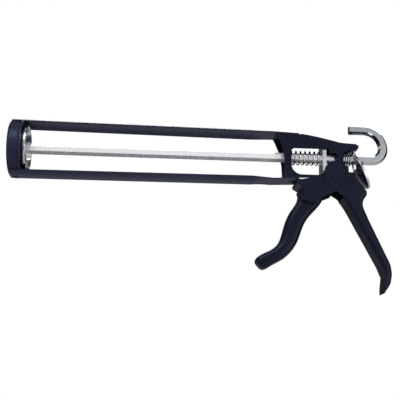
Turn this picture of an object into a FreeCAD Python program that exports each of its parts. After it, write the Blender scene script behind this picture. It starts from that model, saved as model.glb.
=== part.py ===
import FreeCAD, Part
import Sketcher
import math
import os

from FreeCAD import Placement, Rotation, Vector

# Skeleton caulking gun for a 300 ml cartridge, in millimetres.
# Frame: X runs along the push rod from the front face of the cup (X = 0) to the pull hook,
# Y runs across the gun and Z is up. The rod's axis is the X axis.

os.makedirs("parts", exist_ok=True)
doc = FreeCAD.newDocument("caulking_gun")

SIZES = [
    # cup
    ("cup_radius", 25.7), ("cup_wall", 0.8), ("cup_length", 12.5), ("cup_plate", 1.2),
    ("bead_height", 1.4), ("bead_width", 1.8), ("cup_corner", 2.6), ("nozzle_radius", 8.5),
    ("slot_depth", 8.0),
    # cradle strips
    ("strip_thick", 1.0), ("strip_angle", 31.0), ("strip_start", 1.8), ("cradle_length", 241.0),
    ("strip_lap", 21.0), ("strip_flat_width", 24.0), ("strip_seat_gap", 0.06),
    ("top_level", 20.3), ("top_fall", 0.9), ("low_level", 22.3), ("low_rise", 0.9),
    ("arch_top", 23.7), ("arch_low", 24.8), ("arch_run", 22.0),
    # folded body and handle
    ("sheet", 1.2), ("body_width", 22.8), ("handle_drop", 124.0), ("body_rear", 76.0),
    ("handle_round", 3.4),
    ("window_height", 24.8), ("window_low", 18.3),
    # front and rear guides
    ("guide_thick", 1.4), ("guide_bore", 4.75), ("guide_offset", 9.4), ("seat_offset", 60.2),
    ("foot_length", 10.0), ("foot_width", 16.0),
    # push rod with its hook
    ("rod_flats", 8.0), ("rod_front", 2.2), ("hook_start", 90.1), ("hook_low_bend", 11.0),
    ("hook_top_bend", 17.8), ("hook_tail", 13.6), ("rod_gap", 0.05),
    # piston
    ("piston_radius", 22.0), ("piston_sheet", 1.2), ("piston_front", 6.2), ("piston_depth", 9.8),
    ("hub_radius", 7.5), ("washer_radius", 6.8), ("washer_thick", 1.4), ("nut_flats", 13.0),
    ("nut_thick", 3.4),
    # drive
    ("plate_offset", 43.0), ("plate_thick", 3.4), ("plate_top", 13.6), ("plate_low", 15.4),
    ("plate_width", 19.2), ("seat_radius", 8.6), ("seat_thick", 1.2),
    ("coil_radius", 5.9), ("coil_wire", 1.8), ("coil_turns", 8.0), ("coil_gap", 0.1),
    # trigger
    ("pivot_offset", 47.7), ("pivot_drop", 22.7), ("pivot_radius", 2.5), ("pivot_gap", 0.05),
    ("cheek_gap", 0.3), ("cheek_thick", 1.4), ("leg_width", 18.0), ("leg_grow", 1.3),
    ("trigger_drop", 104.6),
    ("push_radius", 2.8), ("push_height", 12.2), ("push_gap", 0.1), ("boss_radius", 5.6),
    ("boss_thick", 0.7), ("pivot_head", 3.3), ("pivot_dome", 1.7),
    # release
    ("release_thick", 1.6), ("release_tilt", 24.0), ("release_top", 11.4),
    ("release_offset", 70.2), ("release_neck", 15.0), ("release_pad", 28.0),
    ("release_pad_height", 34.0), ("release_length", 41.5), ("release_dish", 38.0),
    ("release_slot", 16.4), ("release_slot_width", 10.4),
    ("release_coil_radius", 5.6), ("release_coil_wire", 1.3), ("release_turns", 4.0),
    # rivets
    ("rivet_radius", 1.6), ("rivet_head", 2.9), ("rivet_dome", 0.8), ("rivet_foot", 0.5),
    ("rivet_slack", 0.15),
    ("cup_rivet_place", 7.0), ("body_rivet_place", 15.5),
]

sheet_cells = doc.addObject("Spreadsheet::Sheet", "Sizes")
for row, (alias, value) in enumerate(SIZES, start=1):
    sheet_cells.set("A%d" % row, alias)
    sheet_cells.set("B%d" % row, str(value))
    sheet_cells.setAlias("B%d" % row, alias)
doc.recompute()

val = dict(SIZES)


def cell(text):
    """Spreadsheet names in a formula, such as '<cup_radius> - <cup_wall>'."""
    return text.replace("<", "Sizes.").replace(">", "")


def bind(obj, **formulas):
    for prop, text in formulas.items():
        obj.setExpression(prop, cell(text))
    return obj


# ---------------------------------------------------------------- sketch helpers

def new_body(name):
    body = doc.addObject("PartDesign::Body", name)
    body.Label = name
    return body


def plane_of(body, role):
    for feature in body.Origin.OriginFeatures:
        if feature.Role == role:
            return feature
    raise RuntimeError("no plane " + role)


def sketch_on(body, role, name, offset=0.0):
    sketch = body.newObject("Sketcher::SketchObject", name)
    sketch.AttachmentSupport = (plane_of(body, role), "")
    sketch.MapMode = "FlatFace"
    sketch.AttachmentOffset = Placement(Vector(0, 0, offset), Rotation())
    return sketch


def outline(points):
    """Closed edges through corner points (x, y, radius); radius 0 keeps a sharp corner."""
    count = len(points)
    cuts = []
    for i in range(count):
        here = Vector(points[i][0], points[i][1], 0)
        before = Vector(points[i - 1][0], points[i - 1][1], 0)
        after = Vector(points[(i + 1) % count][0], points[(i + 1) % count][1], 0)
        radius = points[i][2] if len(points[i]) > 2 else 0.0
        u = before.sub(here)
        w = after.sub(here)
        room = min(u.Length, w.Length) * 0.49
        u.normalize()
        w.normalize()
        half = math.acos(max(-1.0, min(1.0, u.dot(w)))) / 2.0
        if radius <= 0 or abs(math.pi / 2 - half) < 0.01:
            cuts.append((here, None, here))
            continue
        back = min(radius / math.tan(half), room)
        radius = back * math.tan(half)
        start = here + u * back
        end = here + w * back
        bisector = (u + w).normalize()
        centre = here + bisector * (radius / math.sin(half))
        middle = centre - bisector * radius
        cuts.append((start, middle, end))
    edges = []
    for i in range(count):
        start, middle, end = cuts[i]
        if middle is not None:
            edges.append(Part.Arc(start, middle, end))
        following = cuts[(i + 1) % count][0]
        if end.distanceToPoint(following) > 1e-6:
            edges.append(Part.LineSegment(end, following))
    return edges


def draw(sketch, points):
    sketch.addGeometry(outline(points), False)
    return sketch


def both_ways(feature):
    if hasattr(feature, "SideType"):
        feature.SideType = "Symmetric"
    else:
        feature.Midplane = True


def pad(body, sketch, name, length, symmetric=False, flipped=False):
    feature = body.newObject("PartDesign::Pad", name)
    feature.Profile = sketch
    feature.Length = 1.0
    if symmetric:
        both_ways(feature)
    feature.Reversed = flipped
    bind(feature, Length=length)
    return feature


def pocket(body, sketch, name, length=None, symmetric=False, flipped=False):
    feature = body.newObject("PartDesign::Pocket", name)
    feature.Profile = sketch
    if length is None:
        feature.Length = 400.0
    else:
        bind(feature, Length=length)
    if symmetric:
        both_ways(feature)
    feature.Reversed = flipped
    return feature


def turn(body, sketch, name, axis="H_Axis", angle=360.0, symmetric=False, cut=False):
    kind = "PartDesign::Groove" if cut else "PartDesign::Revolution"
    feature = body.newObject(kind, name)
    feature.Profile = sketch
    feature.ReferenceAxis = (sketch, [axis])
    feature.Angle = angle
    if symmetric:
        both_ways(feature)
    return feature


def checked_cut(feature, least=1.0):
    """Recompute and make sure that the cut took material away."""
    doc.recompute()
    before = feature.BaseFeature.Shape.Volume
    if before - feature.Shape.Volume < least:
        feature.Reversed = not feature.Reversed
        doc.recompute()
    if before - feature.Shape.Volume < least:
        raise RuntimeError(feature.Name + " cuts nothing")


# ---------------------------------------------------------------- primitive helpers

def box(name, x0, x1, y0, y1, z0, z1):
    item = doc.addObject("Part::Box", name)
    item.Length = x1 - x0
    item.Width = y1 - y0
    item.Height = z1 - z0
    item.Placement = Placement(Vector(x0, y0, z0), Rotation())
    return item


def rod_along(name, radius, axis, start, length):
    item = doc.addObject("Part::Cylinder", name)
    bind(item, Radius=radius)
    item.Height = length
    turns = {"x": Rotation(Vector(0, 1, 0), 90), "y": Rotation(Vector(1, 0, 0), -90),
             "z": Rotation()}
    item.Placement = Placement(start, turns[axis])
    return item


def cut(name, base, tools):
    if len(tools) > 1:
        tool = doc.addObject("Part::MultiFuse", name + "_tools")
        tool.Shapes = tools
    else:
        tool = tools[0]
    item = doc.addObject("Part::Cut", name)
    item.Base = base
    item.Tool = tool
    item.Label = name
    return item


def fuse(name, items):
    item = doc.addObject("Part::MultiFuse", name)
    item.Shapes = items
    item.Refine = True
    item.Label = name
    return item


NODES = {}
front = val["cradle_length"]


def along(x):
    """X of a place on the body, measured from the body's front."""
    return front + x


# ---------------------------------------------------------------- front cup

cup = new_body("front_cup")
radius = val["cup_radius"]
inner = radius - val["cup_wall"]
bead = radius + val["bead_height"]
length = val["cup_length"]
bead_start = length - val["bead_width"]
profile = draw(sketch_on(cup, "XZ_Plane", "cup_profile"), [
    (0, 0), (0, radius, val["cup_corner"]), (bead_start - 1.2, radius, 1.0),
    (bead_start, bead, 0.5), (length, bead, 0.5), (length, inner),
    (val["cup_plate"], inner, val["cup_corner"] - val["cup_wall"]), (val["cup_plate"], 0)])
turn(cup, profile, "cup_turned")
for side, sign in (("top", 1), ("low", -1)):
    relief = draw(sketch_on(cup, "XZ_Plane", "bead_relief_%s_sketch" % side), [
        (bead_start - 2.0, sign * radius), (length + 1.0, sign * radius),
        (length + 1.0, sign * (bead + 2)), (bead_start - 2.0, sign * (bead + 2))])
    groove = turn(cup, relief, "bead_relief_" + side, angle=2 * val["strip_angle"] + 1.5,
                  symmetric=True, cut=True)
    checked_cut(groove)
mouth = val["nozzle_radius"]
slot = sketch_on(cup, "YZ_Plane", "nozzle_slot_sketch")
slot.addGeometry([
    Part.Arc(Vector(0, mouth, 0), Vector(-mouth, 0, 0), Vector(0, -mouth, 0)),
    Part.LineSegment(Vector(0, -mouth, 0), Vector(bead + 3, -mouth, 0)),
    Part.LineSegment(Vector(bead + 3, -mouth, 0), Vector(bead + 3, mouth, 0)),
    Part.LineSegment(Vector(bead + 3, mouth, 0), Vector(0, mouth, 0))], False)
checked_cut(pocket(cup, slot, "nozzle_slot", "<slot_depth>"))
place = val["cup_rivet_place"]
holes = sketch_on(cup, "XY_Plane", "rivet_hole_sketch")
rivet_bore = val["rivet_radius"] + val["rivet_slack"]
holes.addGeometry(Part.Circle(Vector(place, 0, 0), Vector(0, 0, 1), rivet_bore), False)
holes.addConstraint(Sketcher.Constraint("Radius", 0, rivet_bore))
holes.setExpression("Constraints[0]", cell("<rivet_radius> + <rivet_slack>"))
checked_cut(pocket(cup, holes, "rivet_holes", symmetric=True))
NODES["front_cup"] = cup

# ---------------------------------------------------------------- cradle strips

top_rate = val["top_fall"] / val["strip_lap"]
low_rate = val["low_rise"] / val["strip_lap"]


def top_line(x):
    """Upper face of the body's web under the top strip."""
    return val["top_level"] - top_rate * (x - front)


def low_line(x):
    """Lower edge of the body's walls over the bottom strip."""
    return -val["low_level"] + low_rate * (x - front)


def strip_section(body, name, x, bend, crown, half_width, sign):
    """Band of a ring about an axis parallel to X; crown is its inner height at Y = 0."""
    thick = val["strip_thick"]
    centre = Vector(0, sign * (crown - bend), 0)
    half = math.asin(half_width / (bend + thick / 2.0))
    sketch = sketch_on(body, "YZ_Plane", name, x)

    def at(reach, angle):
        return centre + Vector(reach * math.sin(angle), sign * reach * math.cos(angle), 0)

    inside = [at(bend, a) for a in (-half, 0, half)]
    outside = [at(bend + thick, a) for a in (half, 0, -half)]
    sketch.addGeometry([
        Part.Arc(*inside), Part.LineSegment(inside[2], outside[0]),
        Part.Arc(*outside), Part.LineSegment(outside[2], inside[0])], False)
    return sketch


def make_strip(name, sign, arch, level):
    body = new_body(name)
    gap = val["strip_seat_gap"]
    seat = radius + gap
    wide = seat * math.sin(math.radians(val["strip_angle"]))
    flat = val["strip_flat_width"] / 2.0
    flat_bend = 1500.0
    arch_end = front - val["arch_run"]
    sections = [
        strip_section(body, name + "_s1", val["strip_start"], seat, seat, wide, sign),
        strip_section(body, name + "_s2", length + 1.5, seat, seat, wide, sign),
        strip_section(body, name + "_s3", arch_end, seat, arch, wide, sign),
        strip_section(body, name + "_s4", front - 3.0, flat_bend,
                      abs(level(front - 3.0)) + 0.07, flat, sign),
        strip_section(body, name + "_s5", front + val["strip_lap"], flat_bend,
                      abs(level(front + val["strip_lap"])) + 0.07, flat, sign)]
    loft = body.newObject("PartDesign::AdditiveLoft", name + "_loft")
    loft.Profile = sections[0]
    loft.Sections = sections[1:]
    loft.Ruled = True
    for tag, x in (("cup", val["cup_rivet_place"]), ("body", front + val["body_rivet_place"])):
        hole = sketch_on(body, "XY_Plane", "%s_%s_hole" % (name, tag))
        hole.addGeometry(Part.Circle(Vector(x, 0, 0), Vector(0, 0, 1), rivet_bore), False)
        checked_cut(pocket(body, hole, "%s_%s_drill" % (name, tag), symmetric=True))
    NODES[name] = body


make_strip("cradle_strip_top", 1, val["arch_top"], top_line)
make_strip("cradle_strip_bottom", -1, val["arch_low"], low_line)

# ---------------------------------------------------------------- folded body and handle

body_half = val["body_width"] / 2.0
cavity_half = body_half - val["sheet"]
lap_end = val["strip_lap"]
pivot_x = along(val["pivot_offset"])
pivot_z = -val["pivot_drop"]
deep = (val["handle_drop"] - 40.0) / 84.0
rear = val["body_rear"]


def low(z):
    """Heights on the handle follow its drop below the neck."""
    return z if z > -40.0 else -40.0 + (z + 40.0) * deep


top_edge = [(0.0, val["top_level"], 0), (lap_end + 0.4, top_line(front + lap_end), 0.5),
            (lap_end + 2.2, top_line(front + lap_end) + 0.7, 1.5), (31.3, 18.9, 20),
            (40.7, 17.1, 20), (52.8, 14.4, 20), (58.0, 13.0, 12), (63.4, 12.5, 20),
            (rear - 2.6, 12.0, 1.8), (rear, 10.6, 1.4)]
rear_notch = [(rear - 0.4, 7.4, 1.5), (70.0, 5.6, 4), (61.8, 4.2, 2), (61.8, -7.0, 3),
              (66.3, -10.0, 1.5), (66.3, -14.8, 0.8), (71.0, -14.8, 0.8)]
handle_back = [(72.6, -13.6, 0.6), (72.4, -19.0, 2), (79.7, -28.4, 4), (82.6, -32.6, 2),
               (83.0, -35.2, 0), (79.3, -40.6, 8), (79.2, -46.0, 12), (84.7, -59.2, 30),
               (97.9, -87.6, 60), (103.0, -98.5, 14), (104.0, -107.1, 14),
               (102.4, -115.8, 12), (96.8, -124.0, 0)]
handle_front = [(98.4, -109.6, 0), (94.4, -99.5, 30), (66.0, -46.4, 60), (57.4, -34.2, 0),
                (49.6, -29.2, 4), (41.6, -26.6, 5), (40.4, low_line(along(40.4)), 1)]

shell = new_body("body_handle")
side = [(x, z, r) for x, z, r in top_edge + rear_notch]
side += [(x, low(z), r) for x, z, r in handle_back + handle_front]
side += [(8.9, low_line(along(8.9)), 0.5), (7.9, -5.0, 20), (5.4, 8.0, 20),
         (2.0, top_line(along(2.0)) - 4.0, 3)]
side_sketch = draw(sketch_on(shell, "XZ_Plane", "side_outline"),
                   [(along(x), z, r) for x, z, r in side])
side_block = pad(shell, side_sketch, "side_block", "<body_width>", symmetric=True)

round_off = shell.newObject("PartDesign::Fillet", "handle_rounding")
doc.recompute()
handle_edges = []
for number, edge in enumerate(side_block.Shape.Edges, start=1):
    bounds = edge.BoundBox
    flat_side = bounds.YLength < 1e-6 and abs(abs(bounds.YMin) - body_half) < 1e-6
    on_front = bounds.ZMax < low(-34.0) and bounds.ZMin > low(-110.0)
    on_back = bounds.ZMax < low(-35.0)
    tip = bounds.XMax < along(98.6) and bounds.ZMin < low(-112.0)
    if flat_side and (on_front or on_back) and not tip:
        handle_edges.append("Edge%d" % number)
round_off.Base = (side_block, handle_edges)
bind(round_off, Radius="<handle_round>")

sheet = val["sheet"]
inside = [(-8.0, top_line(along(-8.0)) - sheet, 0)]
inside += [(x, z - sheet, r) for x, z, r in top_edge[1:-1]]
inside[-1] = (rear - 2.6, 12.0 - sheet, 1)
inside += [(rear - sheet, 10.2 - sheet, 0.5), (rear - sheet, -10.0, 0), (72.6 - sheet, -12.0, 0)]
inside += [(x - sheet, z + 0.2, max(r - sheet, 0)) for x, z, r in handle_back[1:5]]
inside += [(76.0, -38.4, 1), (62.0, -38.4, 1), (57.0, -40.0, 0), (-8.0, -40.0, 0)]
inside_sketch = draw(sketch_on(shell, "XZ_Plane", "cavity_outline"),
                     [(along(x), z, r) for x, z, r in inside])
cavity = pocket(shell, inside_sketch, "folded_cavity", "<body_width> - 2 * <sheet>",
                symmetric=True)
checked_cut(cavity)

# the hollow of the handle is cut in two steps that follow its rounded edges
round_in = val["handle_round"] - sheet
for index, share in enumerate((0.0, 60.0)):
    turn_in = math.radians(share)
    setback = sheet + round_in * (1.0 - math.cos(turn_in))
    half_wide = body_half - sheet - round_in * (1.0 - math.sin(turn_in))
    hollow = [(x - setback, low(z) + 0.3 * setback, r) for x, z, r in handle_back[5:-1]]
    hollow += [(97.4, low(-126.0), 0), (97.0, low(-126.0), 0)]
    hollow += [(x + setback * 0.9, low(z) + 0.45 * setback, r) for x, z, r in handle_front[:3]]
    hollow += [(63.0 + setback, -36.0, 0), (78.0 - setback, -36.0, 0)]
    hollow_sketch = draw(sketch_on(shell, "XZ_Plane", "hollow_outline_%d" % index),
                         [(along(x), z, r) for x, z, r in hollow])
    step = pocket(shell, hollow_sketch, "handle_hollow_%d" % index, symmetric=True)
    step.Length = 2.0 * half_wide
    checked_cut(step)

window_top = val["window_height"] - val["window_low"]
window = [(14.0, window_top, 3.5), (49.0, window_top, 1), (49.0, 3.0, 1), (56.5, 3.0, 2.5),
          (56.5, -12.0, 3), (52.0, -val["window_low"] + 2.0, 2), (44.0, -val["window_low"], 2),
          (14.0, -val["window_low"], 9.5)]
window_sketch = draw(sketch_on(shell, "XZ_Plane", "window_outline"),
                     [(along(x), z, r) for x, z, r in window])
checked_cut(pocket(shell, window_sketch, "windows", symmetric=True))

far_top = window_top + 6.4
far_window = draw(sketch_on(shell, "XZ_Plane", "far_window_outline", -body_half - 1.0), [
    (along(14.0), far_top, 3.5), (along(49.0), far_top, 3.0), (along(49.0), -12.0, 0),
    (along(14.0), -12.0, 0)])
far_cut = pocket(shell, far_window, "far_window", flipped=True)
far_cut.Length = val["sheet"] + 3.0
checked_cut(far_cut)

slot_x = along(val["release_offset"])
tab_half = val["release_neck"] / 2.0 + 0.6
tab_slot = draw(sketch_on(shell, "XY_Plane", "release_slot_outline", 9.0), [
    (slot_x - 2.2, -tab_half, 0.4), (slot_x + 2.2, -tab_half, 0.4),
    (slot_x + 2.2, tab_half, 0.4), (slot_x - 2.2, tab_half, 0.4)])
tab_pocket = pocket(shell, tab_slot, "release_slot", flipped=True)
tab_pocket.Length = 8.0
checked_cut(tab_pocket)

pin_hole = sketch_on(shell, "XZ_Plane", "pivot_hole_sketch")
pin_hole.addGeometry(Part.Circle(Vector(pivot_x, pivot_z, 0), Vector(0, 0, 1),
                                 val["pivot_radius"]), False)
checked_cut(pocket(shell, pin_hole, "pivot_holes", symmetric=True))
web_hole = sketch_on(shell, "XY_Plane", "web_hole_sketch", 10.0)
web_hole.addGeometry(Part.Circle(Vector(along(val["body_rivet_place"]), 0, 0),
                                 Vector(0, 0, 1), rivet_bore), False)
web_pocket = pocket(shell, web_hole, "web_hole", flipped=True)
web_pocket.Length = 14.0
checked_cut(web_pocket)
NODES["body_handle"] = shell

# ---------------------------------------------------------------- guides

guide_x = along(val["guide_offset"])
guide_back = guide_x + val["guide_thick"]
foot_end = guide_back + val["foot_length"]
foot_half = val["foot_width"] / 2.0
foot_top = top_line(foot_end) - sheet - 0.05
foot_low = low_line(foot_end) + 0.14
rivet_x = along(val["body_rivet_place"])
wall = box("guide_wall", guide_x, guide_back, -cavity_half, cavity_half, foot_low, foot_top)
upper = box("guide_upper_foot", guide_x, foot_end, -foot_half, foot_half, foot_top - 1.2,
            foot_top)
lower = box("guide_lower_foot", guide_x, foot_end, -foot_half, foot_half, foot_low,
            foot_low + 1.2)
guide_solid = fuse("front_guide_blank", [wall, upper, lower])
rod_bore = rod_along("guide_bore_tool", "<guide_bore>", "x", Vector(guide_x - 1, 0, 0), 6)
foot_bore = rod_along("guide_rivet_tool", "<rivet_radius> + <rivet_slack>", "z",
                      Vector(rivet_x, 0, -30), 60)
NODES["front_guide"] = cut("front_guide", guide_solid, [rod_bore, foot_bore])

seat_x = along(val["seat_offset"])
seat_solid = box("rear_guide_blank", seat_x, seat_x + val["guide_thick"], -cavity_half,
                 cavity_half, -12.0, 12.6 - sheet - 0.2)
seat_bore = rod_along("rear_guide_tool", "<guide_bore>", "x", Vector(seat_x - 1, 0, 0), 6)
NODES["rear_guide"] = cut("rear_guide", seat_solid, [seat_bore])

# ---------------------------------------------------------------- rivets


def rivet(name, x, base, sign, grip, lean=0.0):
    """Domed rivet along Z: base is the face under its head, grip the length of its shank."""
    body = new_body(name)
    shank = val["rivet_radius"]
    head = val["rivet_head"]
    dome = val["rivet_dome"]
    foot = val["rivet_foot"]
    profile = sketch_on(body, "XZ_Plane", name + "_profile")
    corners = [(0, dome, 0), (head * 0.55, dome * 0.86, 1.5), (head * 0.95, dome * 0.3, 0.6),
               (head, 0, 0), (shank, 0, 0), (shank, -grip, 0), (shank + 0.8, -grip, 0),
               (shank + 0.6, -grip - foot, 0.1), (0, -grip - foot, 0)]
    draw(profile, corners)
    turn(body, profile, name + "_turned", axis="V_Axis")
    stand = Rotation() if sign > 0 else Rotation(Vector(1, 0, 0), 180)
    tip_over = Rotation(Vector(0, 1, 0), sign * math.degrees(math.atan(lean)))
    body.Placement = Placement(Vector(x, 0, sign * base), tip_over.multiply(stand))
    NODES[name] = body


cup_face = radius + val["strip_seat_gap"] + val["strip_thick"]
cup_grip = val["strip_thick"] + val["strip_seat_gap"] + val["cup_wall"] + val["rivet_slack"]
rivet("cup_rivet_top", val["cup_rivet_place"], cup_face, 1, cup_grip)
rivet("cup_rivet_bottom", val["cup_rivet_place"], cup_face, -1, cup_grip)
top_face = top_line(rivet_x) + 0.07 + val["strip_thick"] + 0.06
low_face = -low_line(rivet_x) + 0.07 + val["strip_thick"] + 0.06
foot_grip = 1.2 + val["rivet_slack"]
rivet("body_rivet_top", rivet_x, top_face, 1, top_face - foot_top + foot_grip, top_rate)
rivet("body_rivet_bottom", rivet_x, low_face, -1, low_face + foot_low + foot_grip, low_rate)

# ---------------------------------------------------------------- push rod with hook

rod = new_body("hex_rod")
corner = val["rod_flats"] / math.sqrt(3.0)
hexagon = sketch_on(rod, "YZ_Plane", "rod_section", val["rod_front"])
hexagon.addGeometry([
    Part.LineSegment(
        Vector(corner * math.sin(math.radians(60 * i)), corner * math.cos(math.radians(60 * i)), 0),
        Vector(corner * math.sin(math.radians(60 * i + 60)),
               corner * math.cos(math.radians(60 * i + 60)), 0)) for i in range(6)], False)
spine = sketch_on(rod, "XZ_Plane", "rod_path")
bend_x = along(val["hook_start"])
low_r = val["hook_low_bend"]
high_r = val["hook_top_bend"]
far_x = bend_x + low_r
top_z = low_r + high_r
root = math.sqrt(0.5)
spine.addGeometry([
    Part.LineSegment(Vector(val["rod_front"], 0, 0), Vector(bend_x, 0, 0)),
    Part.Arc(Vector(bend_x, 0, 0),
             Vector(bend_x + low_r * root, low_r - low_r * root, 0), Vector(far_x, low_r, 0)),
    Part.Arc(Vector(far_x, low_r, 0),
             Vector(far_x - high_r + high_r * root, low_r + high_r * root, 0),
             Vector(far_x - high_r, top_z, 0)),
    Part.LineSegment(Vector(far_x - high_r, top_z, 0),
                     Vector(far_x - high_r - val["hook_tail"], top_z, 0))], False)
pipe = rod.newObject("PartDesign::AdditivePipe", "rod_and_hook")
pipe.Profile = hexagon
pipe.Spine = (spine, ["Edge1", "Edge2", "Edge3", "Edge4"])
NODES["hex_rod"] = rod

# ---------------------------------------------------------------- piston

piston = new_body("piston_plate")
p_front = val["piston_front"]
p_back = p_front + val["piston_depth"]
p_radius = val["piston_radius"]
p_sheet = val["piston_sheet"]
hub = val["hub_radius"]
bore = corner + val["rod_gap"]
hub_foot = p_front + 2.6
rim_edge = p_radius - 1.0
piston_profile = draw(sketch_on(piston, "XZ_Plane", "piston_profile"), [
    (p_front, bore, 0), (p_front, hub, 1.5), (hub_foot, hub + 4.0, 2),
    (hub_foot, rim_edge, 2.5), (p_back, p_radius, 0.3), (p_back, p_radius - p_sheet, 0.3),
    (hub_foot + p_sheet, rim_edge - p_sheet, 1.3), (hub_foot + p_sheet, hub + 4.0, 1.5),
    (p_front + p_sheet, hub, 1), (p_front + p_sheet, bore, 0)])
turn(piston, piston_profile, "piston_turned")
NODES["piston_plate"] = piston

washer_ring = rod_along("piston_washer_disc", "<washer_radius>", "x", Vector(p_front + p_sheet, 0, 0),
                        val["washer_thick"])
washer_bore = rod_along("piston_washer_bore", "<rod_flats> / sqrt(3) + <rod_gap>", "x",
                        Vector(p_front, 0, 0), 6)
NODES["piston_washer"] = cut("piston_washer", washer_ring, [washer_bore])

nut_blank = doc.addObject("Part::Prism", "rod_nut_blank")
nut_blank.Polygon = 6
bind(nut_blank, Circumradius="<nut_flats> / sqrt(3)", Height="<nut_thick>")
nut_x = p_front - val["nut_thick"]
nut_blank.Placement = Placement(Vector(nut_x, 0, 0), Rotation(Vector(0, 1, 0), 90))
nut_bore = rod_along("rod_nut_bore", "<rod_flats> / sqrt(3) + <rod_gap>", "x",
                     Vector(nut_x - 1, 0, 0), val["nut_thick"] + 2)
NODES["rod_nut"] = cut("rod_nut", nut_blank, [nut_bore])

# ---------------------------------------------------------------- drive plate and spring

drive = new_body("drive_plate")
plate_x = along(val["plate_offset"])
plate_half = val["plate_width"] / 2.0
draw(sketch_on(drive, "YZ_Plane", "plate_outline", plate_x), [
    (-plate_half, -val["plate_low"], 2.5), (plate_half, -val["plate_low"], 2.5),
    (plate_half, val["plate_top"], 2.5), (-plate_half, val["plate_top"], 2.5)])
pad(drive, drive.Group[-1], "plate_block", "<plate_thick>")
hex_hole = sketch_on(drive, "YZ_Plane", "plate_hole", plate_x)
grip = corner + val["rod_gap"]
hex_hole.addGeometry([
    Part.LineSegment(
        Vector(grip * math.sin(math.radians(60 * i)), grip * math.cos(math.radians(60 * i)), 0),
        Vector(grip * math.sin(math.radians(60 * i + 60)),
               grip * math.cos(math.radians(60 * i + 60)), 0)) for i in range(6)], False)
checked_cut(pocket(drive, hex_hole, "rod_hole", symmetric=True))
NODES["drive_plate"] = drive

seat_disc = rod_along("spring_seat_disc", "<seat_radius>", "x", Vector(guide_back, 0, 0),
                      val["seat_thick"])
seat_hole = rod_along("spring_seat_bore", "<guide_bore>", "x", Vector(guide_back - 1, 0, 0), 6)
NODES["spring_seat"] = cut("spring_seat", seat_disc, [seat_hole])


def coil(name, start, end, mean, wire, turns, piece=0.0):
    """Round-wire spring about the rod between two faces; piece is its face length in turns."""
    run = end - start - wire
    helix = doc.addObject("Part::Helix", name + "_helix")
    helix.Radius = mean
    helix.Height = run
    helix.Pitch = run / turns
    helix.SegmentLength = piece
    helix.Placement = Placement(Vector(start + wire / 2.0, 0, 0), Rotation(Vector(0, 1, 0), 90))
    ring = doc.addObject("Part::Circle", name + "_wire")
    ring.Radius = wire / 2.0
    ring.Placement = Placement(Vector(start + wire / 2.0, 0, -mean), Rotation(Vector(1, 0, 0), 90))
    sweep = doc.addObject("Part::Sweep", name)
    sweep.Sections = [ring]
    sweep.Spine = (helix, [])
    sweep.Solid = True
    sweep.Frenet = True
    sweep.Label = name
    NODES[name] = sweep


coil_start = guide_back + val["seat_thick"] + val["coil_gap"]
coil("drive_spring", coil_start, plate_x - val["coil_gap"], val["coil_radius"],
     val["coil_wire"], val["coil_turns"])

# ---------------------------------------------------------------- trigger

cheek_in = body_half + val["cheek_gap"]
cheek_out = cheek_in + val["cheek_thick"]
reach = (val["trigger_drop"] - 40.0) / 64.6


def leg(z):
    """Heights on the trigger's leg follow its drop below the fork."""
    return z if z > -40.0 else -40.0 + (z + 40.0) * reach


# stations along the leg: front edge (x, z), back edge (x, z), width as a share, corner radius
STATIONS = [
    ((22.4, -33.0), (42.0, -35.4), 1.10, 3.0), ((22.6, -39.5), (39.4, -43.8), 1.06, 4.5),
    ((16.6, -49.6), (30.8, -53.8), 1.0, 5.4), ((11.4, -60.0), (24.4, -63.6), 1.0, 5.6),
    ((8.2, -70.6), (21.0, -73.0), 0.98, 5.6), ((4.6, -80.0), (16.4, -83.2), 0.98, 5.6),
    ((-2.8, -87.4), (7.2, -93.2), 0.98, 5.4), ((-12.6, -92.6), (-4.2, -100.0), 0.94, 5.2),
    ((-17.0, -96.6), (-10.4, -103.8), 0.80, 4.2), ((-16.9, -99.6), (-14.0, -103.0), 0.45, 1.6)]
leg_half = val["leg_width"] / 2.0
sections = []
for index, (fore, aft, share, round_off) in enumerate(STATIONS):
    a = Vector(along(fore[0]), 0, leg(fore[1]))
    b = Vector(along(aft[0]), 0, leg(aft[1]))
    depth = a.distanceToPoint(b)
    middle = (a + b) * 0.5
    across = (b - a).normalize()
    depth += 2.0 * val["leg_grow"] * (share - 0.45) / 0.55
    normal = across.cross(Vector(0, 1, 0))
    half_w = leg_half * share
    station = doc.addObject("Sketcher::SketchObject", "leg_station_%d" % index)
    station.addGeometry(outline([
        (-depth / 2, -half_w, round_off), (depth / 2, -half_w, round_off),
        (depth / 2, half_w, round_off), (-depth / 2, half_w, round_off)]), False)
    station.Placement = Placement(middle, Rotation(across, Vector(0, 1, 0), normal, "XYZ"))
    sections.append(station)
leg_loft = doc.addObject("Part::Loft", "trigger_leg")
leg_loft.Sections = sections
leg_loft.Solid = True
leg_loft.Ruled = False


def side_plate(name, points, y0, y1):
    sketch = doc.addObject("Sketcher::SketchObject", name + "_outline")
    draw(sketch, [(along(x), z, r) for x, z, r in points])
    sketch.Placement = Placement(Vector(0, y0, 0), Rotation(Vector(1, 0, 0), 90))
    plate = doc.addObject("Part::Extrusion", name)
    plate.Base = sketch
    plate.DirMode = "Custom"
    plate.Dir = Vector(0, 1, 0)
    plate.LengthFwd = y1 - y0
    plate.Solid = True
    return plate


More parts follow.
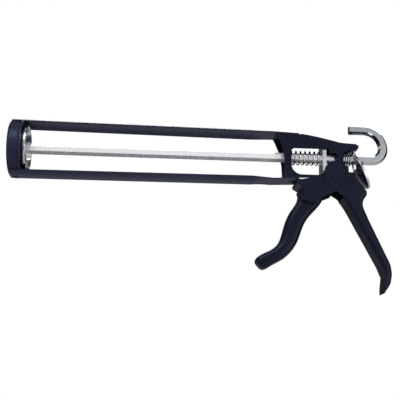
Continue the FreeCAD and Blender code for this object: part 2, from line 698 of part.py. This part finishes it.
CHEEK = [(18.3, -23.2, 1.8), (24.0, -22.8, 4), (36.0, -20.6, 8), (42.0, -19.2, 3),
         (44.0, -17.6, 6), (45.6, -9.6, 5), (48.8, -5.4, 4), (56.0, -5.6, 6), (62.4, -11.2, 6),
         (63.6, -18.6, 6), (61.6, -25.2, 6), (55.4, -28.6, 5), (53.4, -33.6, 2),
         (41.4, -38.8, 8), (33.0, -45.6, 6), (21.6, -41.4, 6), (24.6, -35.4, 5),
         (23.2, -29.6, 4), (18.4, -26.8, 1.7)]
BRIDGE = [(18.3, -23.2, 1.8), (25.0, -24.7, 6), (35.0, -24.9, 2), (38.4, -27.2, 1),
          (39.4, -38.0, 1), (34.0, -43.6, 3), (22.6, -41.0, 6), (24.6, -35.4, 5),
          (23.2, -29.6, 4), (18.4, -26.8, 1.7)]
near_cheek = side_plate("trigger_cheek_near", CHEEK, -cheek_out, -cheek_in)
far_cheek = side_plate("trigger_cheek_far", CHEEK, cheek_in, cheek_out)
bridge = side_plate("trigger_bridge", BRIDGE, -cheek_in - 0.2, cheek_in + 0.2)
trigger_solid = fuse("trigger_blank", [leg_loft, near_cheek, far_cheek, bridge])
push_x = plate_x + val["plate_thick"] + val["push_gap"] + val["push_radius"]
push_z = pivot_z + val["push_height"]
pivot_tool = rod_along("trigger_pivot_bore", "<pivot_radius> + <pivot_gap>", "y",
                       Vector(pivot_x, -30, pivot_z), 60)
push_tool = rod_along("trigger_push_bore", "<push_radius> - 0.8", "y",
                      Vector(push_x, -30, push_z), 60)
NODES["trigger"] = cut("trigger", trigger_solid, [pivot_tool, push_tool])

push_roll = rod_along("push_roller_body", "<push_radius>", "y",
                      Vector(push_x, -cheek_in + 0.1, push_z), 2 * cheek_in - 0.2)
push_core = rod_along("push_roller_ends", "<push_radius> - 0.8", "y",
                      Vector(push_x, -cheek_out, push_z), 2 * cheek_out)
NODES["push_pin"] = fuse("push_pin", [push_roll, push_core])

for name, sign in (("near", -1), ("far", 1)):
    y0 = cheek_out if sign > 0 else -cheek_out - val["boss_thick"]
    disc = rod_along("trigger_washer_%s_disc" % name, "<boss_radius>", "y",
                     Vector(pivot_x, y0, pivot_z), val["boss_thick"])
    hole = rod_along("trigger_washer_%s_bore" % name, "<pivot_radius> + <pivot_gap>", "y",
                     Vector(pivot_x, y0 - 1, pivot_z), 4)
    NODES["trigger_washer_" + name] = cut("trigger_washer_" + name, disc, [hole])

pin = new_body("trigger_rivet")
end_y = cheek_out + val["boss_thick"] + 0.02
draw(sketch_on(pin, "YZ_Plane", "pivot_profile", pivot_x), [
    (-end_y - val["pivot_dome"], pivot_z, 0),
    (-end_y - val["pivot_dome"] * 0.8, pivot_z + val["pivot_head"] * 0.6, 1.2),
    (-end_y - 0.3, pivot_z + val["pivot_head"], 0.6), (-end_y, pivot_z + val["pivot_head"], 0),
    (-end_y, pivot_z + val["pivot_radius"], 0), (end_y, pivot_z + val["pivot_radius"], 0),
    (end_y, pivot_z + val["pivot_head"], 0), (end_y + 0.3, pivot_z + val["pivot_head"], 0.6),
    (end_y + val["pivot_dome"] * 0.8, pivot_z + val["pivot_head"] * 0.6, 1.2),
    (end_y + val["pivot_dome"], pivot_z, 0)])
pin_sketch = pin.Group[-1]
last_edge = len(pin_sketch.Geometry)
spin = pin.newObject("PartDesign::Revolution", "pivot_turned")
spin.Profile = pin_sketch
spin.ReferenceAxis = (pin_sketch, ["Edge%d" % last_edge])
spin.Angle = 360.0
NODES["trigger_rivet"] = pin

# ---------------------------------------------------------------- release plate and spring

hinge_x = along(val["release_offset"])
lean = Rotation(Vector(0, 1, 0), -val["release_tilt"])
release = new_body("release_neck_plate")
neck = val["release_neck"] / 2.0
pad_high = val["release_pad_height"] / 2.0
pad_z = pad_high - val["release_length"]
neck_low = pad_z + pad_high - 1.6
draw(sketch_on(release, "YZ_Plane", "neck_outline"), [
    (-neck, 0, 0), (neck, 0, 0), (neck, neck_low, 2), (-neck, neck_low, 2)])
pad(release, release.Group[-1], "neck_block", "<release_thick>", symmetric=True)
nose = sketch_on(release, "XZ_Plane", "nose_circle")
nose.addGeometry(Part.Circle(Vector(0, 0, 0), Vector(0, 0, 1), val["release_thick"] / 2.0), False)
pad(release, nose, "hinge_nose", "<release_neck>", symmetric=True)
rod_drop = val["release_top"] / math.cos(math.radians(val["release_tilt"]))
slot_half = val["release_slot"] / 2.0
slot_wide = val["release_slot_width"] / 2.0
dish_in = val["release_dish"]
rim_x = math.sqrt((dish_in + val["release_thick"] / 2.0) ** 2 - pad_high ** 2)
dish_outer = doc.addObject("Part::Sphere", "dish_outer")
bind(dish_outer, Radius="<release_dish> + <release_thick>")
dish_inner = doc.addObject("Part::Sphere", "dish_inner")
bind(dish_inner, Radius="<release_dish>")
for ball in (dish_outer, dish_inner):
    ball.Placement = Placement(Vector(rim_x, 0, pad_z), Rotation())
dish_shell = cut("dish_shell", dish_outer, [dish_inner])
pad_oval = doc.addObject("Part::Ellipse", "pad_oval")
bind(pad_oval, MajorRadius="<release_pad_height> / 2", MinorRadius="<release_pad> / 2")
pad_oval.Placement = Placement(Vector(-12.0, 0, pad_z), Rotation(Vector(0, 0, 1), Vector(0, 1, 0),
                                                                 Vector(-1, 0, 0), "XYZ"))
pad_column = doc.addObject("Part::Extrusion", "pad_column")
pad_column.Base = pad_oval
pad_column.DirMode = "Custom"
pad_column.Dir = Vector(1, 0, 0)
pad_column.LengthFwd = 18.0
pad_column.Solid = True
thumb_pad = doc.addObject("Part::MultiCommon", "thumb_pad")
thumb_pad.Shapes = [dish_shell, pad_column]
plate_blank = fuse("release_blank", [release, thumb_pad])
rod_slot = box("release_rod_slot", -9.0, 9.0, -slot_wide, slot_wide, -rod_drop - slot_half,
               -rod_drop + slot_half)
plate = cut("release_plate", plate_blank, [rod_slot])
plate.Placement = Placement(Vector(hinge_x, 0, val["release_top"]), lean)
NODES["release_plate"] = plate

tilt = math.radians(val["release_tilt"])
face_top = hinge_x - val["release_thick"] / 2.0 / math.cos(tilt) + math.tan(tilt) * (
    val["release_top"] - val["release_coil_radius"] - val["release_coil_wire"] / 2.0)
coil("release_spring", seat_x + val["guide_thick"] + val["coil_gap"],
     face_top - val["coil_gap"], val["release_coil_radius"], val["release_coil_wire"],
     val["release_turns"], piece=0.5)

# ---------------------------------------------------------------- check and write

doc.recompute()
for item in doc.Objects:
    bad = [state for state in item.State if state in ("Invalid", "Error")]
    if bad:
        raise RuntimeError("%s is %s" % (item.Name, bad))
for name, item in NODES.items():
    shape = item.Shape
    if shape.isNull() or not shape.isValid():
        raise RuntimeError(name + " has no valid shape")
    if len(shape.Solids) != 1:
        raise RuntimeError("%s has %d solids" % (name, len(shape.Solids)))
    shape.exportStep("parts/%s.step" % name)
    print(name, [round(v, 1) for v in (shape.BoundBox.XMin, shape.BoundBox.XMax,
                                       shape.BoundBox.YMin, shape.BoundBox.YMax,
                                       shape.BoundBox.ZMin, shape.BoundBox.ZMax)],
          round(shape.Volume))
print("built", len(NODES), "pieces")
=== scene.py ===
"""Looks of the skeleton caulking gun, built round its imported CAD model.

Metres, X along the push rod from the front of the cup, Z up.
"""
import math

import bpy
from mathutils import Matrix, Vector


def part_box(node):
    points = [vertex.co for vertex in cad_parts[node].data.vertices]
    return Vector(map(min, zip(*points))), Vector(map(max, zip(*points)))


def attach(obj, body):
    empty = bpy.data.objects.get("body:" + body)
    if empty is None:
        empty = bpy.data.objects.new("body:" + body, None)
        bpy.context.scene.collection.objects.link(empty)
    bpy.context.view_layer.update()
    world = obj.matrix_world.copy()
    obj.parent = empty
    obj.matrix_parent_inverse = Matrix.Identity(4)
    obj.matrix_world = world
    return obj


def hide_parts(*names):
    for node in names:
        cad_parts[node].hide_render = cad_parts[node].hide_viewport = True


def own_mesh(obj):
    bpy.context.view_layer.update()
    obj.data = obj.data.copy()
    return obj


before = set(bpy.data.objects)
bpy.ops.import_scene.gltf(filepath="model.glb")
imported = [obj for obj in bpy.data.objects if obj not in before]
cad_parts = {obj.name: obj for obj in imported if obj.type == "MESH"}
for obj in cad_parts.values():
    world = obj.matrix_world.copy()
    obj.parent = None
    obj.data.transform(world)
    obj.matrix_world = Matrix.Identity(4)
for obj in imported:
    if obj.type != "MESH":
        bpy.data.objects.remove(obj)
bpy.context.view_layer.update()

DRIVE_WIRE = 0.0009
DRIVE_TURNS = 7.6
RELEASE_WIRE = 0.00065
RELEASE_TURNS = 4.4
CLOSED_TURNS = 0.7
TURN_STEPS = 40
CLOSE_PITCH = 1.04
HOOK_START = 0.285
HOOK_END = 0.305
FLOOR_LEVEL = -0.32
FLOOR_HALF = 4.0
EVEN = (1.0, 1.0, 1.0)


# ---------------------------------------------------------------- node helpers

def new_material(name, colour, metallic, roughness, **inputs):
    """A Principled material; inputs are other sockets, with _ for a space."""
    material = bpy.data.materials.new(name)
    material.use_nodes = True
    shader = material.node_tree.nodes["Principled BSDF"]
    shader.inputs["Base Color"].default_value = (*colour, 1.0)
    shader.inputs["Metallic"].default_value = metallic
    shader.inputs["Roughness"].default_value = roughness
    for key, value in inputs.items():
        shader.inputs[key.replace("_", " ")].default_value = value
    return material, material.node_tree, shader


def add(tree, kind, **values):
    """A node with its properties and unlinked sockets set."""
    node = tree.nodes.new(kind)
    for key, value in values.items():
        if hasattr(node, key) and key not in node.inputs:
            setattr(node, key, value)
        else:
            node.inputs[key].default_value = value
    return node


def noise(tree, scale, detail=4.0, stretch=EVEN):
    """Noise in the object's own metres; stretch scales it along each axis."""
    place = add(tree, "ShaderNodeTexCoord")
    mapping = add(tree, "ShaderNodeMapping")
    mapping.inputs["Scale"].default_value = stretch
    texture = add(tree, "ShaderNodeTexNoise")
    texture.inputs["Scale"].default_value = scale
    texture.inputs["Detail"].default_value = detail
    texture.inputs["Roughness"].default_value = 0.5
    tree.links.new(place.outputs["Object"], mapping.inputs["Vector"])
    tree.links.new(mapping.outputs["Vector"], texture.inputs["Vector"])
    return texture.outputs["Fac"]


def ramp(tree, source, stops):
    """Maps a factor to colours: stops are (position, (r, g, b))."""
    node = add(tree, "ShaderNodeValToRGB")
    elements = node.color_ramp.elements
    while len(elements) < len(stops):
        elements.new(0.5)
    for element, (position, colour) in zip(elements, stops):
        element.position = position
        element.color = (*colour, 1.0)
    tree.links.new(source, node.inputs["Fac"])
    return node.outputs["Color"]


def spread(tree, source, low, high, start=0.0, end=1.0):
    """Maps a value between start and end to the range low to high."""
    node = add(tree, "ShaderNodeMapRange")
    node.inputs["From Min"].default_value = start
    node.inputs["From Max"].default_value = end
    node.inputs["To Min"].default_value = low
    node.inputs["To Max"].default_value = high
    tree.links.new(source, node.inputs["Value"])
    return node.outputs["Result"]


def round_edges(tree, shader, radius, bump=None, strength=0.1, distance=0.0002):
    """Softens sharp sheet edges in the shading, and adds a fine bump."""
    bevel = add(tree, "ShaderNodeBevel")
    bevel.samples = 6
    bevel.inputs["Radius"].default_value = radius
    if bump is None:
        tree.links.new(bevel.outputs["Normal"], shader.inputs["Normal"])
        return
    node = add(tree, "ShaderNodeBump")
    node.inputs["Strength"].default_value = strength
    node.inputs["Distance"].default_value = distance
    tree.links.new(bump, node.inputs["Height"])
    tree.links.new(bevel.outputs["Normal"], node.inputs["Normal"])
    tree.links.new(node.outputs["Normal"], shader.inputs["Normal"])


# ---------------------------------------------------------------- materials

def enamel(name, dark, light, roughness, edge=0.0006):
    """Sprayed enamel: slight colour drift, orange peel and paler rubbed patches."""
    material, tree, shader = new_material(name, dark, 0.0, roughness, Coat_Weight=0.05,
                                          Coat_Roughness=0.3, Specular_IOR_Level=0.16,
                                          Specular_Tint=(0.62, 0.68, 1.0, 1.0))
    drift = noise(tree, 38.0, 5.0)
    tree.links.new(ramp(tree, drift, [(0.3, dark), (0.75, light)]), shader.inputs["Base Color"])
    tree.links.new(spread(tree, noise(tree, 160.0, 3.0), roughness - 0.06, roughness + 0.08),
                   shader.inputs["Roughness"])
    round_edges(tree, shader, edge, noise(tree, 900.0, 2.0), 0.12, 0.00012)
    return material


def plated(name, colour, roughness, scratch_along=EVEN, edge=0.0003):
    """Bright plating: fine drawn lines and a little cloudiness."""
    material, tree, shader = new_material(name, colour, 1.0, roughness)
    cloud = noise(tree, 90.0, 4.0)
    dull = tuple(0.86 * value for value in colour)
    tree.links.new(ramp(tree, cloud, [(0.25, dull), (0.7, colour)]), shader.inputs["Base Color"])
    lines = noise(tree, 700.0, 3.0, scratch_along)
    tree.links.new(spread(tree, lines, roughness * 0.7, roughness * 1.6),
                   shader.inputs["Roughness"])
    round_edges(tree, shader, edge, lines, 0.08, 0.00005)
    return material


NAVY = enamel("navy_enamel", (0.0030, 0.0040, 0.0110), (0.0064, 0.0080, 0.0195), 0.34)
SLATE = enamel("slate_enamel", (0.0034, 0.0050, 0.0115), (0.0066, 0.0090, 0.0190), 0.34)
CRADLE = enamel("cradle_enamel", (0.0150, 0.0170, 0.0400), (0.0230, 0.0260, 0.0580), 0.36)
ZINC = plated("bright_zinc", (0.86, 0.87, 0.88), 0.09, (0.05, 1.0, 1.0))
PLATE_ZINC = plated("pressed_zinc", (0.76, 0.77, 0.80), 0.17)
WIRE = plated("spring_wire", (0.70, 0.71, 0.74), 0.12)
THUMB = plated("release_zinc", (0.58, 0.58, 0.68), 0.26, (1.0, 1.0, 0.2))


def rod_zinc():
    """Rod polished bright and milky along its shaft, mirror bright in the hook."""
    material, tree, shader = new_material("rod_zinc", (0.93, 0.94, 0.95), 1.0, 0.1)
    place = add(tree, "ShaderNodeTexCoord")
    axes = add(tree, "ShaderNodeSeparateXYZ")
    tree.links.new(place.outputs["Object"], axes.inputs["Vector"])
    hook = spread(tree, axes.outputs["X"], 0.38, 1.0, HOOK_START, HOOK_END)
    tree.links.new(hook, shader.inputs["Metallic"])
    lines = noise(tree, 700.0, 3.0, (0.05, 1.0, 1.0))
    tree.links.new(spread(tree, lines, 0.05, 0.16), shader.inputs["Roughness"])
    tree.links.new(ramp(tree, hook, [(0.4, (0.93, 0.94, 0.95)), (1.0, (0.52, 0.55, 0.57))]),
                   shader.inputs["Base Color"])
    round_edges(tree, shader, 0.0004, lines, 0.06, 0.00004)
    return material


ROD = rod_zinc()

LOOKS = {
    "front_cup": CRADLE, "cradle_strip_top": CRADLE, "cradle_strip_bottom": CRADLE,
    "body_handle": NAVY, "front_guide": NAVY, "rear_guide": NAVY,
    "cup_rivet_top": CRADLE, "cup_rivet_bottom": CRADLE, "body_rivet_top": NAVY,
    "body_rivet_bottom": NAVY, "hex_rod": ROD, "piston_plate": PLATE_ZINC,
    "piston_washer": ZINC, "rod_nut": ZINC, "drive_plate": PLATE_ZINC, "spring_seat": ZINC,
    "drive_spring": WIRE, "release_spring": WIRE, "trigger": SLATE, "push_pin": SLATE,
    "trigger_washer_near": SLATE, "trigger_washer_far": SLATE, "trigger_rivet": SLATE,
    "release_plate": THUMB,
}
for node_name, material in LOOKS.items():
    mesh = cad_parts[node_name].data
    mesh.materials.clear()
    mesh.materials.append(material)


# ---------------------------------------------------------------- mesh helpers

def tube(points, radius, sides=14):
    """Verts and faces of a round wire through points, with flat ends."""
    verts = []
    faces = []
    normal = Vector((0, 0, 1))
    for i, point in enumerate(points):
        ahead = points[min(i + 1, len(points) - 1)] - points[max(i - 1, 0)]
        ahead.normalize()
        normal = (normal - ahead * normal.dot(ahead)).normalized()
        side = ahead.cross(normal)
        for k in range(sides):
            a = 2 * math.pi * k / sides
            verts.append(point + (normal * math.cos(a) + side * math.sin(a)) * radius)
    for i in range(len(points) - 1):
        for k in range(sides):
            n = (k + 1) % sides
            faces.append((i * sides + k, i * sides + n, (i + 1) * sides + n, (i + 1) * sides + k))
    last = (len(points) - 1) * sides
    faces.append(tuple(range(sides - 1, -1, -1)))
    faces.append(tuple(last + k for k in range(sides)))
    return verts, faces


def coil_line(node, radius, turns):
    """Centre line of a coil spring with closed end turns, in the box of its CAD node."""
    low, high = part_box(node)
    mean = (high.z - low.z) / 2 - radius
    start = low.x + radius
    run = high.x - low.x - 2 * radius
    closed_rise = 2 * radius * CLOSE_PITCH
    open_turns = turns - 2 * CLOSED_TURNS
    open_rise = (run - 2 * CLOSED_TURNS * closed_rise) / open_turns
    steps = int(turns * TURN_STEPS)
    points = []
    for i in range(steps + 1):
        turn = i / steps * turns
        head = min(turn, CLOSED_TURNS)
        tail = min(turns - turn, CLOSED_TURNS)
        x = head * closed_rise + max(0.0, min(turn - CLOSED_TURNS, open_turns)) * open_rise
        x += (CLOSED_TURNS - tail) * closed_rise
        angle = 2 * math.pi * turn
        points.append(Vector((start + x, mean * math.sin(angle), mean * math.cos(angle))))
    return points


def make_coil(name, node, radius, turns):
    """The visible spring that takes the place of a CAD node, and stays with the frame."""
    verts, faces = tube(coil_line(node, radius, turns), radius)
    mesh = bpy.data.meshes.new(name)
    mesh.from_pydata([tuple(v) for v in verts], [], faces)
    mesh.validate()
    mesh.polygons.foreach_set("use_smooth", [True] * len(mesh.polygons))
    mesh.set_sharp_from_angle(angle=math.radians(35.0))
    mesh.materials.append(WIRE)
    obj = bpy.data.objects.new(name, mesh)
    bpy.context.scene.collection.objects.link(obj)
    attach(obj, "frame")
    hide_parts(node)
    return obj


drive_coil = make_coil("drive_coil", "drive_spring", DRIVE_WIRE, DRIVE_TURNS)
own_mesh(drive_coil)
make_coil("release_coil", "release_spring", RELEASE_WIRE, RELEASE_TURNS)

# ---------------------------------------------------------------- floor, light and camera

PALE = new_material("pale_floor", (0.86, 0.86, 0.86), 0.0, 0.7)[0]
corners = [(x * FLOOR_HALF, y * FLOOR_HALF, FLOOR_LEVEL)
           for x, y in ((-1, -1), (1, -1), (1, 1), (-1, 1))]
floor_mesh = bpy.data.meshes.new("floor")
floor_mesh.from_pydata(corners, [], [(0, 1, 2, 3)])
floor_mesh.materials.append(PALE)
floor = bpy.data.objects.new("floor", floor_mesh)
bpy.context.scene.collection.objects.link(floor)


def make_world():
    """White to the camera; a soft grey room for light and reflections."""
    world = bpy.data.worlds.new("studio")
    bpy.context.scene.world = world
    world.use_nodes = True
    tree = world.node_tree
    tree.nodes.clear()
    seen = add(tree, "ShaderNodeBackground", Color=(1, 1, 1, 1), Strength=1.0)
    lit = add(tree, "ShaderNodeBackground", Strength=0.8)
    place = add(tree, "ShaderNodeTexCoord")
    axes = add(tree, "ShaderNodeSeparateXYZ")
    tree.links.new(place.outputs["Generated"], axes.inputs["Vector"])
    height = spread(tree, axes.outputs["Z"], 0.0, 1.0, -1.0, 1.0)
    shades = ramp(tree, height, [(0.0, (0.72, 0.73, 0.74)), (0.2, (0.9, 0.9, 0.92)),
                                 (0.38, (0.42, 0.42, 0.46)), (0.5, (0.85, 0.85, 0.87)),
                                 (0.62, (1.0, 1.0, 1.0)), (0.74, (0.16, 0.16, 0.19)),
                                 (0.9, (0.03, 0.03, 0.04)), (1.0, (0.5, 0.5, 0.52))])
    side = spread(tree, axes.outputs["X"], 1.0, 0.05, 0.30, 0.55)
    behind = spread(tree, axes.outputs["Y"], 1.0, 0.10, 0.25, 0.70)
    both = add(tree, "ShaderNodeMath", operation="MULTIPLY")
    tree.links.new(side, both.inputs[0])
    tree.links.new(behind, both.inputs[1])
    shaded = add(tree, "ShaderNodeVectorMath", operation="SCALE")
    tree.links.new(shades, shaded.inputs[0])
    tree.links.new(both.outputs[0], shaded.inputs["Scale"])
    tree.links.new(shaded.outputs[0], lit.inputs["Color"])
    path = add(tree, "ShaderNodeLightPath")
    mix = add(tree, "ShaderNodeMixShader")
    out = add(tree, "ShaderNodeOutputWorld")
    tree.links.new(path.outputs["Is Camera Ray"], mix.inputs[0])
    tree.links.new(lit.outputs[0], mix.inputs[1])
    tree.links.new(seen.outputs[0], mix.inputs[2])
    tree.links.new(mix.outputs[0], out.inputs["Surface"])


def soft_light(name, place, target, size, power):
    """A white rectangular lamp at a place, turned to its target."""
    data = bpy.data.lights.new(name, "AREA")
    data.shape = "RECTANGLE"
    data.size, data.size_y = size
    data.energy = power
    obj = bpy.data.objects.new(name, data)
    obj.location = place
    obj.rotation_mode = "QUATERNION"
    obj.rotation_quaternion = (Vector(target) - Vector(place)).to_track_quat("-Z", "Y")
    bpy.context.scene.collection.objects.link(obj)


make_world()
bpy.context.scene.view_settings.view_transform = "Standard"
MIDDLE = (0.18, 0.0, -0.02)
soft_light("key", (-0.15, -0.75, 0.75), MIDDLE, (0.8, 0.5), 7.0)
soft_light("fill", (0.75, -0.55, -0.1), MIDDLE, (0.5, 0.7), 2.5)
soft_light("rim", (0.3, 0.7, 0.6), MIDDLE, (0.9, 0.4), 5.0)


def make_camera(place, yaw, elevation, roll, focal_px):
    """Camera by its heading from +Y, height angle and roll, in degrees."""
    a, e, r = (math.radians(v) for v in (yaw, elevation, roll))
    ahead = Vector((math.cos(e) * math.sin(a), math.cos(e) * math.cos(a), math.sin(e)))
    right = ahead.cross(Vector((0, 0, 1))).normalized()
    up = right.cross(ahead)
    side = right * math.cos(r) + up * math.sin(r)
    top = up * math.cos(r) - right * math.sin(r)
    data = bpy.data.cameras.new("photo_camera")
    data.sensor_width = 36.0
    data.lens = focal_px / 400.0 * data.sensor_width
    data.clip_start = 0.01
    data.clip_end = 50.0
    obj = bpy.data.objects.new("photo_camera", data)
    bpy.context.scene.collection.objects.link(obj)
    rotation = Matrix((side, top, -ahead)).transposed()
    obj.matrix_world = Matrix.Translation(Vector(place)) @ rotation.to_4x4()
    bpy.context.scene.camera = obj


make_camera((0.1337, -0.7497, -0.2158), yaw=3.0, elevation=13.0, roll=1.11, focal_px=850.0)
